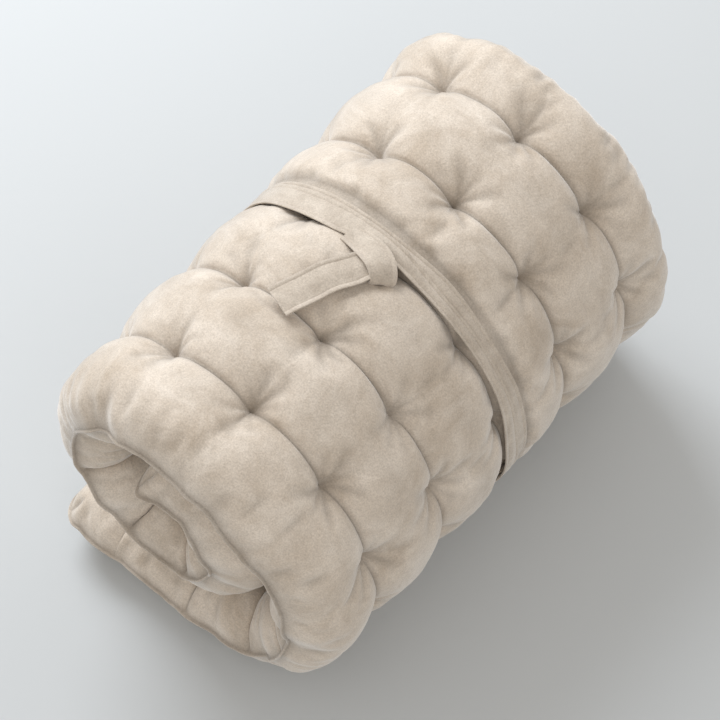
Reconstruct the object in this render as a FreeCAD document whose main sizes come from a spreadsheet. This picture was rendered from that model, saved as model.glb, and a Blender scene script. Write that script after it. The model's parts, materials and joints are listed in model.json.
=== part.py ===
import FreeCAD, Part
import math
import os

# A tufted velvet futon mattress, rolled up and tied with a strap. Millimetres, +Z up.
# The roll lies along Y on its own end flap, and its open spiral shows at both Y ends.
# The mattress is built flat row by row: each panel between two tuft rows is a velvet sleeve
# round its own length of batting, and a row of five threads pinches every joint between panels.
# The origin is on the floor, under the middle of the rolled mattress.

SIZES = [
    # the mattress laid flat
    ("mattress_width", 700, "side seam to side seam"),
    ("row_pitch", 124, "between tuft rows, along the mattress"),
    ("end_panel", 94, "last tuft row to the end seam"),
    ("row_count", 14, "tuft rows along the mattress"),
    ("ring_pitch", 120, "between tufts across the mattress"),
    ("ring_count", 5, "tufts across the mattress"),
    ("loft", 94, "thickness from crown to crown"),
    ("tuft_depth", 12, "how far a tuft sinks below the crown"),
    ("crown_inset", 10, "how far a crown stays back from its tuft rows"),
    ("edge_round", 45, "how far the crowns stay back from the side seams"),
    ("end_round", 30, "how far the crowns stay back from the end seams"),
    ("cover_wall", 5, "velvet with the wadding behind it"),
    ("seam_inset", 7, "batting back from the seam"),
    ("row_gap", 1.5, "half of the slot that a tuft row leaves"),
    ("thread_radius", 1, "tufting twine"),
    # the roll
    ("layer_gap", 12, "air between one turn and the next"),
    ("crease_radius", 28, "inside of the tightest bend of a snug roll"),
    ("snug_ratio", 19.149, "length over loft of a mattress that rolls up snugly"),
    ("flap_run", 240, "end flap flat on the floor"),
    ("corner_share", 0.81, "radius of the lower corner over half the roll's height"),
    ("rise_share", 0.14, "straight side above that corner, over half the height"),
    ("top_share", 0.037, "straight stretch on top, over half the height"),
    ("curl_radius", 150, "loose curl of the inner end"),
    # the strap
    ("strap_width", 40, "hemmed velvet strap"),
    ("strap_thickness", 2.5, "two layers of velvet"),
    ("channel_side", 1, "clearance beside the strap"),
    ("first_turn_offset", 24, "first turn, off the middle tufts"),
    ("second_turn_offset", 14, "second turn, on top of the first"),
    ("bridge_foot", 9.5, "foot of the strap's free stretch above the flap's sloping end"),
    ("bridge_lift", 0.6, "how far that stretch stands off the velvet"),
    ("knot_length", 44, "knot along the strap"),
    ("knot_width", 46, "knot across the strap"),
    ("knot_height", 17, "knot above the second turn"),
    ("free_end_length", 132, "free end of the strap"),
    ("free_end_lean", 20, "degrees that the free end leans along the roll's curve"),
    ("free_end_clear", 0.6, "free end above the crown"),
]
SHEET_COLUMNS = {"name": "A", "value": "B", "note": "C"}
FLAP_PANELS = 2
STRAP_FIRST, STRAP_LAST = 3, 10
KNOT_PANEL = 8
PATH_STEP = 0.5
BRIDGE_STEP = 0.02

doc = FreeCAD.newDocument("RolledFuton")
sheet = doc.addObject("Spreadsheet::Sheet", "Sizes")
for line, (name, value, note) in enumerate(SIZES, start=1):
    sheet.set(SHEET_COLUMNS["name"] + str(line), name)
    sheet.set(SHEET_COLUMNS["value"] + str(line), str(value))
    sheet.set(SHEET_COLUMNS["note"] + str(line), note)
    sheet.setAlias(SHEET_COLUMNS["value"] + str(line), name)
doc.recompute()


def size(name):
    return float(sheet.get(name))


ROWS = int(size("row_count"))
PANELS = ROWS + 1
ROLL_TURNS = 1.5
spacings = [size("end_panel")] + [size("row_pitch")] * (ROWS - 1) + [size("end_panel")]


# --- The roll's spiral: the line of the tufts on the outer face, as straight runs and arcs ---

def spiral_runs():
    """Each run is (length, None) or (radius, turn in degrees), from the end flap inwards."""
    layer = size("loft") + size("layer_gap")
    spare_length = sum(spacings) - size("snug_ratio") * size("loft")
    looseness = spare_length / (ROLL_TURNS * 2 * math.pi)
    inner = size("loft") - size("tuft_depth") + size("crease_radius") + looseness
    left = inner + layer / 2
    right = left + layer / 2
    corner = right * size("corner_share")
    rise = right * size("rise_share")
    top_run = right * size("top_share")
    top = 2 * right - corner - rise
    left_x = corner - top - top_run
    inner_x = corner - layer - inner
    return [
        (size("flap_run"), None),
        (corner, 90),
        (rise, None),
        (top, 90),
        (top_run, None),
        (left, 180),
        (inner_x - left_x, None),
        (inner, 180),
        (size("curl_radius"), 180),
    ]


def spiral_points():
    """Close points along the runs, from the flap's end seam, starting level with the tufts."""
    points = [(-size("flap_run"), size("tuft_depth"))]
    heading = 0.0
    for reach, turn in spiral_runs():
        bend = math.radians(turn or 0)
        length = reach * bend if turn else reach
        steps = max(1, round(length / PATH_STEP))
        x, z = points[-1]
        for i in range(1, steps + 1):
            if turn:
                angle = heading + bend * i / steps
                points.append((x + reach * (math.sin(angle) - math.sin(heading)),
                               z + reach * (math.cos(heading) - math.cos(angle))))
            else:
                points.append((x + math.cos(heading) * length * i / steps,
                               z + math.sin(heading) * length * i / steps))
        heading += bend
    return points


def walk(points, spacings):
    """The places along the points that are the given straight distances apart."""
    places = [points[0]]
    index = 0
    for spacing in spacings:
        x, z = places[-1]
        while math.hypot(points[index][0] - x, points[index][1] - z) < spacing:
            index += 1
        before, after = points[index - 1], points[index]
        near = math.hypot(before[0] - x, before[1] - z)
        far = math.hypot(after[0] - x, after[1] - z)
        share = (spacing - near) / (far - near)
        places.append((before[0] + (after[0] - before[0]) * share,
                       before[1] + (after[1] - before[1]) * share))
    return places


def headings(places):
    """Direction of each panel in degrees, turning on past 180 and 360."""
    found = []
    for (x0, z0), (x1, z1) in zip(places, places[1:]):
        angle = math.degrees(math.atan2(z1 - z0, x1 - x0))
        while found and angle < found[-1] - 1:
            angle += 360
        found.append(angle)
    return found


rows = walk(spiral_points(), spacings)
heading = headings(rows)
turns = [0] + [after - before for before, after in zip(heading, heading[1:])] + [0]


# --- Panels: three wedges stacked through the thickness, between mitred ends ---
# In a panel's own frame X runs along the mattress, Y from the outer face inwards and Z across.
# Y is 0 level with the outer tufts, and the seam is half way through the thickness.

CROWN = "-Sizes.tuft_depth"
TUFTS = "0"
SEAM = "(Sizes.loft / 2 - Sizes.tuft_depth)"
INSIDE = "(Sizes.loft - Sizes.tuft_depth)"
SHARE_AT_TUFTS = "(1 - 2 * Sizes.tuft_depth / Sizes.loft)"
SIDE_TAPER = ["Sizes.edge_round", f"Sizes.edge_round * {SHARE_AT_TUFTS}", "0", "Sizes.edge_round"]
END_TAPER = ["Sizes.end_round", f"Sizes.end_round * {SHARE_AT_TUFTS}", "0", "Sizes.end_round"]


def end_inset(turn, closed):
    """How far a panel stays back at one end, at the crown, the tufts, the seam and the inside."""
    if closed:
        return END_TAPER
    mitre = f"tan({turn / 2:.6f})"
    return [
        "Sizes.row_gap + Sizes.crown_inset",
        "Sizes.row_gap",
        f"Sizes.row_gap + {SEAM} * {mitre}",
        f"Sizes.row_gap + {INSIDE} * {mitre}",
    ]


def panel_block(name, number, wall="0", seam_inset="0"):
    """A panel's closed form, or the space inside its cover when a wall is given."""
    first, last = number == 1, number == PANELS
    length = "Sizes.end_panel" if first or last else "Sizes.row_pitch"
    starts = end_inset(turns[number - 1], first)
    ends = end_inset(turns[number], last)
    start_inset = seam_inset if first else "0"
    finish_inset = seam_inset if last else "0"
    levels = [f"{CROWN} + {wall}", TUFTS, SEAM, f"{INSIDE} - {wall}"]
    slices = []
    for i in range(3):
        wedge = doc.addObject("Part::Wedge", f"{name}_slice_{i + 1}")
        wedge.setExpression("Ymin", levels[i])
        wedge.setExpression("Ymax", levels[i + 1])
        for level, prefix in ((i, ""), (i + 1, "2")):
            half = f"(Sizes.mattress_width / 2 - {SIDE_TAPER[level]} - {seam_inset})"
            wedge.setExpression(f"X{prefix}min", f"{starts[level]} + {start_inset}")
            wedge.setExpression(f"X{prefix}max", f"{length} - ({ends[level]}) - {finish_inset}")
            wedge.setExpression(f"Z{prefix}min", f"-{half}")
            wedge.setExpression(f"Z{prefix}max", half)
        slices.append(wedge)
    block = doc.addObject("Part::MultiFuse", name)
    block.Shapes = slices
    block.Refine = True
    return block


def panel_place(number):
    """Panel frame to the row frame: its outer tuft row at the start, X along the panel."""
    x, z = rows[number - 1]
    turned = FreeCAD.Rotation(FreeCAD.Vector(0, 1, 0), -heading[number - 1])
    upright = FreeCAD.Rotation(FreeCAD.Vector(1, 0, 0), 90)
    return FreeCAD.Placement(FreeCAD.Vector(x + centre_shift, 0, z), turned * upright)


def middle_of_roll():
    """X half way between the flap's end seam or the left side, and the right side."""
    reach = []
    depth = size("tuft_depth")
    for number in range(1, PANELS + 1):
        angle = math.radians(heading[number - 1])
        back = size("row_gap") + size("crown_inset")
        for along in (back, spacings[number - 1] - back):
            x = rows[number - 1][0] + along * math.cos(angle) + depth * math.sin(angle)
            reach.append(x)
    reach.append(rows[0][0])
    return (min(reach) + max(reach)) / 2


centre_shift = -middle_of_roll()

parts = {}


def keep(shape_object, label, place):
    """Names a finished sub-part and puts it in its place."""
    shape_object.Label = label
    shape_object.Placement = place
    parts[label] = shape_object


def band(name, length, start="Sizes.row_gap"):
    """A length of strap in a panel's frame, its inner face at Y 0."""
    strap = doc.addObject("Part::Box", name)
    strap.setExpression("Length", length)
    strap.setExpression("Width", "Sizes.strap_thickness")
    strap.setExpression("Height", "Sizes.strap_width")
    strap.setExpression("Placement.Base.x", start)
    return strap


def strap_channel(number):
    """The groove that the first turn of strap presses into a panel's outer face."""
    groove = doc.addObject("Part::Box", f"channel_{number:02d}")
    groove.setExpression("Length", "Sizes.row_pitch")
    groove.setExpression("Width", "Sizes.strap_thickness")
    groove.setExpression("Height", "Sizes.strap_width + 2 * Sizes.channel_side")
    groove.setExpression("Placement.Base.y", CROWN)
    groove.setExpression(
        "Placement.Base.z",
        "-Sizes.strap_width / 2 - Sizes.channel_side - Sizes.first_turn_offset")
    return groove


for number in range(1, PANELS + 1):
    tag = f"{number:02d}"
    outer = panel_block(f"cover_block_{tag}", number)
    space = panel_block(f"cover_space_{tag}", number, "Sizes.cover_wall", "Sizes.seam_inset")
    cover = doc.addObject("Part::Cut", f"cover_{tag}_sleeve")
    cover.Base = outer
    cover.Tool = space
    if number <= STRAP_LAST:
        grooved = doc.addObject("Part::Cut", f"cover_{tag}_grooved")
        grooved.Base = cover
        grooved.Tool = strap_channel(number)
        cover = grooved
    batting = panel_block(f"batting_{tag}_block", number, "Sizes.cover_wall", "Sizes.seam_inset")
    keep(cover, f"cover_{tag}", panel_place(number))
    keep(batting, f"batting_{tag}", panel_place(number))


# --- Tufts: a row of threads through the mattress, in the slot between two panels ---

for row in range(1, ROWS + 1):
    tag = f"{row:02d}"
    threads = []
    for i in range(int(size("ring_count"))):
        thread = doc.addObject("Part::Cylinder", f"thread_{tag}_{i + 1}")
        thread.setExpression("Radius", "Sizes.thread_radius")
        thread.setExpression("Height", "Sizes.loft - 2 * Sizes.tuft_depth - Sizes.thread_radius")
        thread.setExpression("Placement.Base.y",
                             f"({i} - (Sizes.ring_count - 1) / 2) * Sizes.ring_pitch")
        thread.setExpression("Placement.Base.z", "Sizes.thread_radius")
        threads.append(thread)
    group = doc.addObject("Part::Compound", f"tufts_{tag}")
    group.Links = threads
    bisector = (heading[row - 1] + heading[row]) / 2
    x, z = rows[row]
    keep(group, f"tuft_row_{tag}",
         FreeCAD.Placement(FreeCAD.Vector(x + centre_shift, 0, z),
                           FreeCAD.Rotation(FreeCAD.Vector(0, 1, 0), -bisector)))


# --- The strap: its first turn sunk in the velvet, its second turn on top, tied on the roll ---

FIRST_TURN_FACE = CROWN
SECOND_TURN_FACE = f"{CROWN} - Sizes.strap_thickness"
FIRST_TURN_EDGE = "-Sizes.strap_width / 2 - Sizes.first_turn_offset"
SECOND_TURN_EDGE = "-Sizes.strap_width / 2 - Sizes.second_turn_offset"


def first_turn(name, length, start="Sizes.row_gap"):
    strap = band(name, length, start)
    strap.setExpression("Placement.Base.y", FIRST_TURN_FACE)
    strap.setExpression("Placement.Base.z", FIRST_TURN_EDGE)
    return strap


under_end = first_turn("strap_under_end", "Sizes.end_panel - Sizes.end_round", "Sizes.end_round")
under_next = doc.addObject("Part::Compound", "strap_under_next")
under_next.Links = [first_turn("strap_under_next_length", "Sizes.row_pitch - Sizes.row_gap", "0")]
under_next.Placement = panel_place(1).inverse().multiply(panel_place(2))
under = doc.addObject("Part::MultiFuse", "strap_under_group")
under.Shapes = [under_end, under_next]
under.Refine = True
keep(under, "strap_under_flap", panel_place(1))

def flap_top(x):
    """Height of the flap's velvet at x, which slopes down to its end seam."""
    seam = size("loft") / 2
    share = (x - rows[0][0]) / size("end_round")
    return seam + (size("loft") - seam) * min(max(share, 0), 1)


def bridge_length():
    """The strap's free stretch, down its own slant until its foot is just above the flap."""
    angle = math.radians(heading[STRAP_LAST - 1])
    off_tufts = size("tuft_depth") + size("bridge_lift")
    x = rows[STRAP_LAST][0] + off_tufts * math.sin(angle)
    z = rows[STRAP_LAST][1] - off_tufts * math.cos(angle)
    length = 0
    while z > flap_top(x) + size("bridge_foot"):
        length += BRIDGE_STEP
        x += BRIDGE_STEP * math.cos(angle)
        z += BRIDGE_STEP * math.sin(angle)
    return length


# Both turns start clear of the floor on the first panel that rises from it.
for number in range(STRAP_FIRST, STRAP_LAST + 1):
    tag = f"{number:02d}"
    start = "Sizes.row_gap"
    if number == STRAP_FIRST:
        start = "(Sizes.row_gap + Sizes.crown_inset)"
    length = f"Sizes.row_pitch - Sizes.row_gap - {start}"
    first = first_turn(f"first_turn_{tag}", length, start)
    second = band(f"second_turn_{tag}", length, start)
    second.setExpression("Placement.Base.y", SECOND_TURN_FACE)
    second.setExpression("Placement.Base.z", SECOND_TURN_EDGE)
    turns_here = doc.addObject("Part::Compound", f"strap_{tag}_group")
    turns_here.Links = [first, second]
    if number == STRAP_LAST:
        bridge = band("strap_bridge", f"{bridge_length():.3f}", "Sizes.row_pitch - Sizes.row_gap")
        bridge.setExpression("Placement.Base.y", f"{SECOND_TURN_FACE} - Sizes.bridge_lift")
        bridge.setExpression("Placement.Base.z", SECOND_TURN_EDGE)
        turns_here.Links = [first, second, bridge]
    keep(turns_here, f"strap_{tag}", panel_place(number))

# The knot is a flattened barrel: the strap passes once round itself on top of the roll.
knot_wedge = doc.addObject("Part::Wedge", "knot_block")
KNOT_TOP_SHARE = "0.7"
KNOT_START = "(2 * Sizes.row_gap)"
KNOT_MIDDLE = "Sizes.second_turn_offset"
knot_wedge.setExpression("Ymin", f"{SECOND_TURN_FACE} - Sizes.knot_height")
knot_wedge.setExpression("Ymax", SECOND_TURN_FACE)
knot_wedge.setExpression("Xmin", f"{KNOT_START} + Sizes.knot_length * (1 - {KNOT_TOP_SHARE}) / 2")
knot_wedge.setExpression("Xmax", f"{KNOT_START} + Sizes.knot_length * (1 + {KNOT_TOP_SHARE}) / 2")
knot_wedge.setExpression("X2min", KNOT_START)
knot_wedge.setExpression("X2max", f"{KNOT_START} + Sizes.knot_length")
knot_wedge.setExpression("Zmin", f"-{KNOT_MIDDLE} - Sizes.knot_width * {KNOT_TOP_SHARE} / 2")
knot_wedge.setExpression("Zmax", f"-{KNOT_MIDDLE} + Sizes.knot_width * {KNOT_TOP_SHARE} / 2")
knot_wedge.setExpression("Z2min", f"-{KNOT_MIDDLE} - Sizes.knot_width / 2")
knot_wedge.setExpression("Z2max", f"-{KNOT_MIDDLE} + Sizes.knot_width / 2")
keep(knot_wedge, "strap_knot", panel_place(KNOT_PANEL))

# The free end hangs out of the knot towards the roll's open end and lies on the velvet.
free_end = doc.addObject("Part::Box", "free_end_length_of_strap")
free_end.setExpression("Length", "Sizes.free_end_length")
free_end.setExpression("Width", "Sizes.strap_width")
free_end.setExpression("Height", "Sizes.strap_thickness")


def free_end_place():
    """Box X along the free end, Y across it and Z away from the velvet, and its hinge."""
    root = FreeCAD.Vector(
        2 * size("row_gap") + size("knot_length") / 2,
        -size("tuft_depth") - size("strap_thickness") - size("free_end_clear"),
        -size("second_turn_offset") + size("knot_width") / 2 + size("free_end_clear"))
    lean = math.radians(size("free_end_lean"))
    along = FreeCAD.Vector(math.sin(lean), 0, math.cos(lean))
    outward = FreeCAD.Vector(0, -1, 0)
    across = outward.cross(along)
    clear_of_knot = along * (size("strap_width") / 2 * math.tan(lean))
    corner = root - across * (size("strap_width") / 2) + clear_of_knot
    turned = FreeCAD.Rotation(along, across, outward, "XYZ")
    hinge = root + clear_of_knot + outward * size("strap_thickness")
    return FreeCAD.Placement(corner, turned), hinge, across


free_local, free_hinge, free_across = free_end_place()
keep(free_end, "strap_free_end", panel_place(KNOT_PANEL).multiply(free_local))


# --- Check and write every sub-part ---

doc.recompute()
faults = []
for item in doc.Objects:
    if "Invalid" in item.State or "Error" in item.State:
        faults.append(f"{item.Name} is {item.State}")
for label, item in parts.items():
    if item.Shape.isNull() or not item.Shape.isValid() or item.Shape.Volume <= 0:
        faults.append(f"{label} has no valid solid")
if faults:
    raise RuntimeError("; ".join(faults))

os.makedirs("parts", exist_ok=True)
for label, item in parts.items():
    item.Shape.exportStep(f"parts/{label}.step")

print(len(parts), "sub-parts; tuft rows at",
      [(round(x + centre_shift, 2), round(z, 2)) for x, z in rows])
print("turn at each row, degrees:", [round(turn, 3) for turn in turns[1:-1]])
knot_place = panel_place(KNOT_PANEL)
print("free end turns at", knot_place.multVec(free_hinge),
      "about", knot_place.Rotation.multVec(free_across))
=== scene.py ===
import bpy
import json
import math
import numpy as np
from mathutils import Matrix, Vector


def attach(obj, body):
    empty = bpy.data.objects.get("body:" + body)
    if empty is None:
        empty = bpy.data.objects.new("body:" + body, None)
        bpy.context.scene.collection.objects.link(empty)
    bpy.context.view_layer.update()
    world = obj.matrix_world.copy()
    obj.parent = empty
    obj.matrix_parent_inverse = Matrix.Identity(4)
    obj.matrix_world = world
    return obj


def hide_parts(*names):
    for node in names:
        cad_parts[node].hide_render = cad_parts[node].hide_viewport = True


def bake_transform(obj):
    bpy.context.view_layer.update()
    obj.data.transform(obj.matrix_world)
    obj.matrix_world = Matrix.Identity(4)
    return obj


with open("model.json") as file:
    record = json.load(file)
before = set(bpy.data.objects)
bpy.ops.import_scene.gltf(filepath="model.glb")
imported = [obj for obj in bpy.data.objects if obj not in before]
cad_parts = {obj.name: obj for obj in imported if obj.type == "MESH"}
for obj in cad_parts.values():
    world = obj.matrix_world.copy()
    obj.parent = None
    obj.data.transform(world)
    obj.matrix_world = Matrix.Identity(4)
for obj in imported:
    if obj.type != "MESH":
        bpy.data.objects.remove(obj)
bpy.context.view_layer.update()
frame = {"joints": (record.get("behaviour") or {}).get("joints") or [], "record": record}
scene = bpy.context.scene


# ---------------------------------------------------------------------------------------------
# Camera, floor and light: a rolled futon on a pale studio floor, seen from above its open end.
# The light is one large soft window on the roll's left side, with a weak fill from the right.
# ---------------------------------------------------------------------------------------------

CAMERA_AZIMUTH = math.radians(40.0)
CAMERA_ELEVATION = math.radians(59.5)
CAMERA_DISTANCE = 3.160
CAMERA_AIM = Vector((0.010, -0.031, 0.242))
CAMERA_LENS = 130.75

view_back = Vector((math.sin(CAMERA_AZIMUTH) * math.cos(CAMERA_ELEVATION),
                    -math.cos(CAMERA_AZIMUTH) * math.cos(CAMERA_ELEVATION),
                    math.sin(CAMERA_ELEVATION)))
camera_data = bpy.data.cameras.new("camera")
camera = bpy.data.objects.new("camera", camera_data)
scene.collection.objects.link(camera)
camera.location = CAMERA_AIM + view_back * CAMERA_DISTANCE
camera.rotation_euler = (-view_back).to_track_quat("-Z", "Y").to_euler()
camera_data.lens = CAMERA_LENS
camera_data.sensor_width = 36.0
camera_data.clip_start = 0.05
camera_data.clip_end = 60.0
scene.camera = camera
scene.view_settings.view_transform = "Standard"

FLOOR_SIZE = 14.0
bpy.ops.object.select_all(action="DESELECT")
bpy.ops.mesh.primitive_plane_add(size=FLOOR_SIZE, location=(0, 0, 0))
floor = bpy.context.object
floor.name = "studio_floor"
floor_material = bpy.data.materials.new("pale_floor")
floor_material.use_nodes = True
floor_shader = floor_material.node_tree.nodes["Principled BSDF"]
floor_shader.inputs["Base Color"].default_value = (0.590, 0.615, 0.635, 1.0)
floor_shader.inputs["Roughness"].default_value = 0.75
floor_shader.inputs["Specular IOR Level"].default_value = 0.2
floor.data.materials.append(floor_material)

world = bpy.data.worlds.new("studio")
scene.world = world
world.use_nodes = True
world.node_tree.nodes["Background"].inputs["Color"].default_value = (1.0, 0.965, 0.915, 1.0)
world.node_tree.nodes["Background"].inputs["Strength"].default_value = 0.66


def soft_light(name, place, aim, width, height, power, colour):
    light_data = bpy.data.lights.new(name, "AREA")
    light_data.shape = "RECTANGLE"
    light_data.size = width
    light_data.size_y = height
    light_data.energy = power
    light_data.color = colour
    light = bpy.data.objects.new(name, light_data)
    scene.collection.objects.link(light)
    light.location = place
    light.rotation_euler = (Vector(aim) - Vector(place)).to_track_quat("-Z", "Y").to_euler()


soft_light("window", (-2.4, 0.9, 2.3), (0.0, 0.0, 0.15), 2.0, 2.0, 100, (0.93, 0.965, 1.0))
soft_light("fill", (2.6, -1.8, 2.6), (0.0, 0.0, 0.1), 2.5, 2.5, 16, (1.0, 0.98, 0.95))


# ---------------------------------------------------------------------------------------------
# The velvet: a short, soft, greige cotton pile with a silky sheen. It is paler where the pile
# leans towards the light and darker where it is brushed the other way.
# ---------------------------------------------------------------------------------------------

VELVET_PALE = (0.680, 0.612, 0.540, 1.0)
VELVET_DEEP = (0.450, 0.378, 0.305, 1.0)


def velvet_material(name, pale, deep, brush_scale):
    """Velvet: brushed patches, painted shade in the creases and a painted highlight on the
    ridges, fine pile bump, rough shader with a strong soft sheen.
    """
    material = bpy.data.materials.new(name)
    material.use_nodes = True
    nodes, links = material.node_tree.nodes, material.node_tree.links
    shader = nodes["Principled BSDF"]
    shader.inputs["Roughness"].default_value = 0.85
    shader.inputs["Specular IOR Level"].default_value = 0.15
    shader.inputs["Sheen Weight"].default_value = 0.95
    shader.inputs["Sheen Roughness"].default_value = 0.38
    shader.inputs["Sheen Tint"].default_value = (1.0, 0.985, 0.97, 1.0)
    place = nodes.new("ShaderNodeTexCoord")

    brush = nodes.new("ShaderNodeTexNoise")
    brush.inputs["Scale"].default_value = brush_scale
    brush.inputs["Detail"].default_value = 9.0
    brush.inputs["Roughness"].default_value = 0.70
    brush.inputs["Distortion"].default_value = 0.5
    links.new(place.outputs["Object"], brush.inputs["Vector"])
    tone = nodes.new("ShaderNodeValToRGB")
    tone.color_ramp.elements[0].position = 0.30
    tone.color_ramp.elements[0].color = deep
    tone.color_ramp.elements[1].position = 0.72
    tone.color_ramp.elements[1].color = pale
    links.new(brush.outputs["Fac"], tone.inputs["Fac"])

    grain = nodes.new("ShaderNodeTexNoise")
    grain.inputs["Scale"].default_value = 520.0
    grain.inputs["Detail"].default_value = 3.0
    links.new(place.outputs["Object"], grain.inputs["Vector"])
    # Painted shade and highlight: a mesh attribute, low down in the creases and high on the
    # ridges, darkens or lightens the colour.
    ridge = nodes.new("ShaderNodeAttribute")
    ridge.attribute_name = "painted_shade_and_highlight"
    grain_tone = nodes.new("ShaderNodeMapRange")
    grain_tone.inputs["From Min"].default_value = 0.30
    grain_tone.inputs["From Max"].default_value = 0.70
    grain_tone.inputs["To Min"].default_value = 0.86
    grain_tone.inputs["To Max"].default_value = 1.12
    links.new(grain.outputs["Fac"], grain_tone.inputs["Value"])
    painted_shade_and_highlight = nodes.new("ShaderNodeMapRange")
    painted_shade_and_highlight.inputs["From Min"].default_value = -1.0
    painted_shade_and_highlight.inputs["From Max"].default_value = 1.0
    painted_shade_and_highlight.inputs["To Min"].default_value = 0.80
    painted_shade_and_highlight.inputs["To Max"].default_value = 1.20
    links.new(ridge.outputs["Fac"], painted_shade_and_highlight.inputs["Value"])
    both = nodes.new("ShaderNodeMath")
    both.operation = "MULTIPLY"
    links.new(grain_tone.outputs["Result"], both.inputs[0])
    links.new(painted_shade_and_highlight.outputs["Result"], both.inputs[1])
    # The colour, times the random grain and the painted shade and highlight.
    painted_light_tone = nodes.new("ShaderNodeVectorMath")
    painted_light_tone.operation = "SCALE"
    links.new(tone.outputs["Color"], painted_light_tone.inputs[0])
    links.new(both.outputs["Value"], painted_light_tone.inputs["Scale"])
    links.new(painted_light_tone.outputs["Vector"], shader.inputs["Base Color"])

    pile = nodes.new("ShaderNodeTexNoise")
    pile.inputs["Scale"].default_value = 900.0
    pile.inputs["Detail"].default_value = 2.0
    links.new(place.outputs["Object"], pile.inputs["Vector"])
    crush = nodes.new("ShaderNodeTexNoise")
    crush.inputs["Scale"].default_value = 120.0
    crush.inputs["Detail"].default_value = 3.0
    crush.inputs["Distortion"].default_value = 0.8
    links.new(place.outputs["Object"], crush.inputs["Vector"])
    pile_bump = nodes.new("ShaderNodeBump")
    pile_bump.inputs["Strength"].default_value = 0.55
    pile_bump.inputs["Distance"].default_value = 0.0006
    links.new(pile.outputs["Fac"], pile_bump.inputs["Height"])
    crush_bump = nodes.new("ShaderNodeBump")
    crush_bump.inputs["Strength"].default_value = 0.5
    crush_bump.inputs["Distance"].default_value = 0.0015
    links.new(crush.outputs["Fac"], crush_bump.inputs["Height"])
    links.new(pile_bump.outputs["Normal"], crush_bump.inputs["Normal"])
    links.new(crush_bump.outputs["Normal"], shader.inputs["Normal"])
    return material


velvet = velvet_material("greige_velvet", VELVET_PALE, VELVET_DEEP, 14.0)


# ---------------------------------------------------------------------------------------------
# The roll: the mattress lies on its end flap, turns up on the right, over the top and down on
# the left, and then curls once more inside. Its outer tufts lie on the line of the folds.
# ---------------------------------------------------------------------------------------------

PITCH = 0.124
RING_PITCH = 0.120
RINGS = 5
ROWS = 14
END_PANEL = 0.094
SIDE_PANEL = 0.110
LENGTH = 2 * END_PANEL + (ROWS - 1) * PITCH
HALF_WIDTH = SIDE_PANEL + (RINGS - 1) * RING_PITCH / 2
LOFT = 0.094
TUFT_DEPTH = 0.012
SEAM_LEVEL = LOFT / 2 - TUFT_DEPTH
ROOT_PANEL = 8

joints = {joint["name"]: joint for joint in frame["joints"]}
fold_names = {row: "unroll" if row == ROOT_PANEL else f"fold_{row:02d}"
              for row in range(2, ROWS + 1)}
body_names = {number: "flap" if number < 3 else f"panel_{number:02d}"
              for number in range(1, ROWS + 2)}
ratios = {c["joint"]: c["ratio"] for c in frame["record"]["behaviour"]["couplings"]}
turn_of_unroll = joints["unroll"]["range_deg"][1]
turns = {row: math.radians(turn_of_unroll * ratios.get(name, 1.0))
         for row, name in fold_names.items()}
turns[0] = turns[1] = turns[ROWS + 1] = 0.0

rows = {row: np.array([joints[name]["pos_m"][0], joints[name]["pos_m"][2]])
        for row, name in fold_names.items()}
rows[1] = rows[2] - (PITCH, 0.0)
rows[0] = rows[1] - (END_PANEL, 0.0)
last_step = rows[ROWS] - rows[ROWS - 1]
last_heading = math.atan2(last_step[1], last_step[0]) + turns[ROWS]
rows[ROWS + 1] = rows[ROWS] + END_PANEL * np.array([math.cos(last_heading),
                                                    math.sin(last_heading)])

row_lengths = np.array([0.0] + [END_PANEL + PITCH * i for i in range(ROWS)] + [LENGTH])


def on_the_roll(along, depth, bow=1.0):
    """X and Z of points at a length along the mattress and a depth inwards from its outer tufts.
    Each panel keeps between the mitres at its two rows, and bows outwards in one smooth curve."""
    along = np.clip(np.asarray(along, float), 0.0, LENGTH)
    depth = np.asarray(depth, float)
    panel = np.clip(np.searchsorted(row_lengths, along, side="right"), 1, ROWS + 1)
    start = np.array([rows[i] for i in range(ROWS + 2)])
    step = start[1:] - start[:-1]
    length = np.hypot(step[:, 0], step[:, 1])
    direction = step / length[:, None]
    tan_half = np.array([math.tan(turns[i] / 2) for i in range(ROWS + 2)])
    i = panel - 1
    share = (along - row_lengths[i]) / (row_lengths[panel] - row_lengths[i])
    at_start, at_end = tan_half[i], tan_half[panel]
    x0 = depth * at_start
    x1 = length[i] - depth * at_end
    x = x0 + (x1 - x0) * share
    out = length[i] * (at_start * share * (1 - share) ** 2 + at_end * share ** 2 * (1 - share))
    inward = depth - bow * out
    px = start[i, 0] + direction[i, 0] * x - direction[i, 1] * inward
    pz = start[i, 1] + direction[i, 1] * x + direction[i, 0] * inward
    return px, pz


# ---------------------------------------------------------------------------------------------
# The mattress: two velvet sheets sewn all round with a knife-edge seam over a pad of fibre
# batting, tufted right through by five threads in each of fourteen rows. Rolled up, its outer
# sheet is taut round the roll and its inner sheet is slack and creased.
# ---------------------------------------------------------------------------------------------

CELLS_PER_RING = 30
CELLS_PER_ROW = 30
CELLS_AT_SIDE = 27
CELLS_AT_END = 24
RING_PLACES = np.array([(i - (RINGS - 1) / 2) * RING_PITCH for i in range(RINGS)])
FLANGE = 0.0036
FLANGE_HALF_THICKNESS = 0.0016


def graded(start, end, cells, towards_start, towards_end, grading=1.25):
    """Places from start to end, closer together towards the ends that are tufted."""
    share = np.linspace(0, 1, cells + 1)
    if towards_start and towards_end:
        share = np.where(share < 0.5, 0.5 * (2 * share) ** grading,
                         1 - 0.5 * (2 - 2 * share) ** grading)
    elif towards_start:
        share = share ** grading
    elif towards_end:
        share = 1 - (1 - share) ** grading
    return start + (end - start) * share


def chained(spans):
    return np.concatenate([span[:-1] for span in spans[:-1]] + [spans[-1]])


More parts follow.
